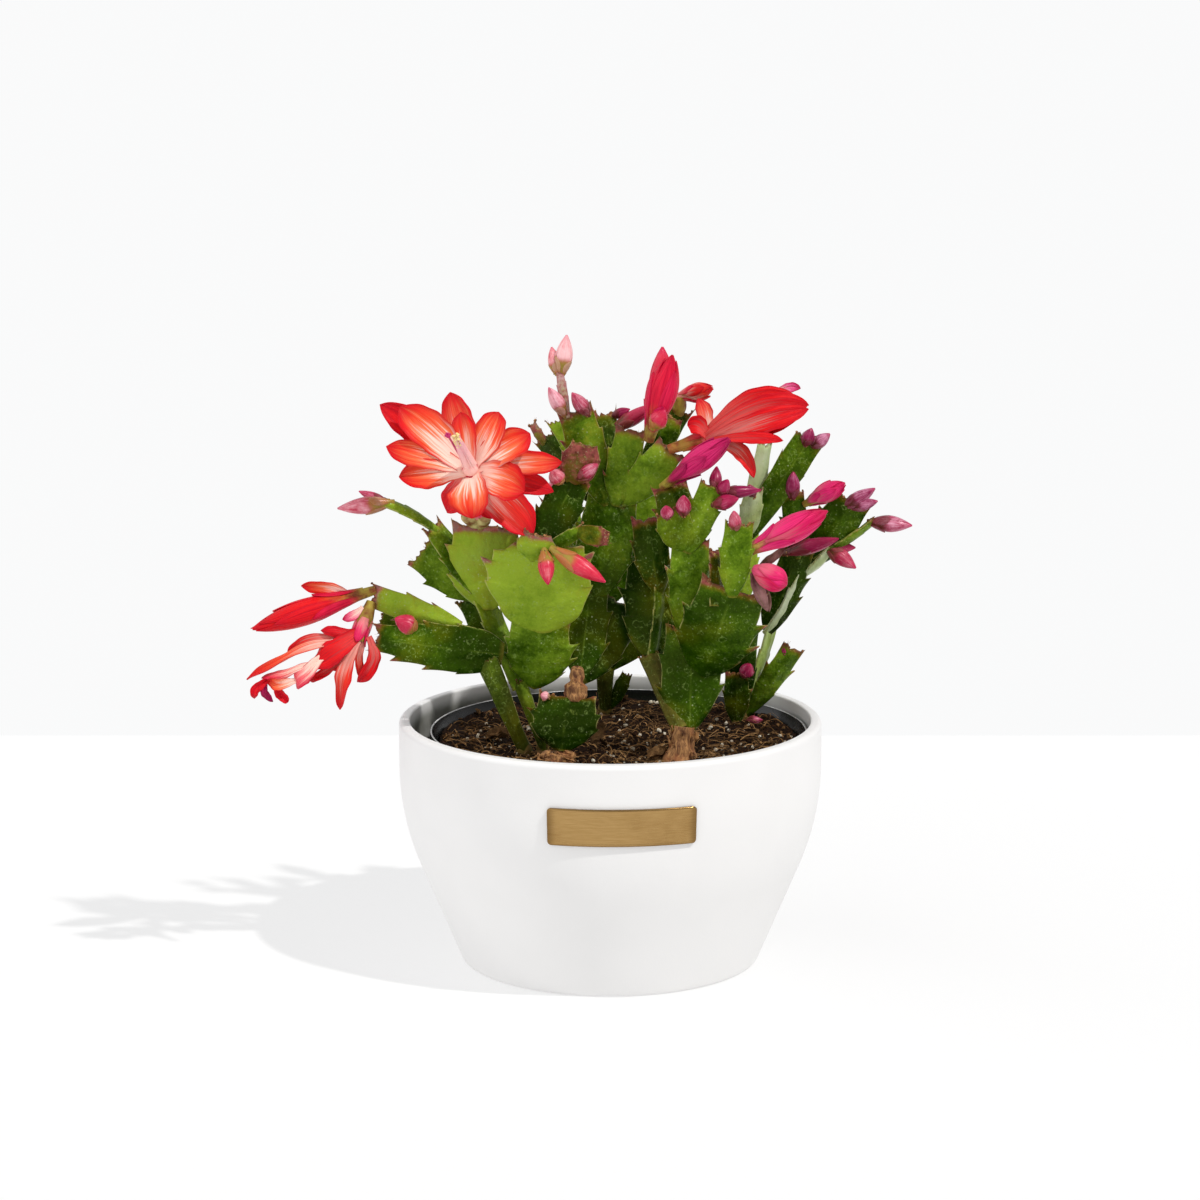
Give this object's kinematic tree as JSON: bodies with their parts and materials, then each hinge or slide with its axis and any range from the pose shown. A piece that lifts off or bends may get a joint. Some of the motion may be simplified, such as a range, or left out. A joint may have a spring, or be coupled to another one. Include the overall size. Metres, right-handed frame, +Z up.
{
  "type": "potted christmas cactus",
  "caption": "Flowering leaf cactus with flat toothed stems and red and pink blooms, in a white bowl planter with a bare brass plate.",
  "frame": {"origin": "middle of the planter's flat underside, on its centre pad", "axes": "+Z up along the planter's axis, +X to the right and +Y away from the side with the brass plate"},
  "size_m": [0.2636, 0.1713, 0.2541],
  "materials": {
    "planter": "matte",
    "plate": "antique brushed",
    "nursery_pot": "satin",
    "soil": "rough",
    "bark": "rough",
    "leaf": "satin",
    "petal_red": "satin",
    "petal_pink": "satin"
  },
  "bodies": {
    "root": {"planter": "planter", "name_plate": "plate", "nursery_pot": "nursery_pot", "soil": "soil", "stock_centre": "bark", "stock_right": "bark", "stem_left": "leaf", "stem_front": "leaf", "stem_centre": "leaf", "stem_right": "leaf", "sprout_right": "leaf", "stem_right_back": "leaf", "stem_back": "leaf", "bloom_closed_left": "petal_red", "bloom_upright": "petal_red", "bloom_side": "petal_red", "bloom_half_open": "petal_red", "bloom_open": "petal_red", "bloom_wilted": "petal_red", "bloom_magenta": "petal_pink", "bloom_pink_right": "petal_pink", "bloom_blunt_right": "petal_pink", "bloom_pink_back": "petal_pink", "fallen_bud": "petal_pink"}
  },
  "joints": []
}
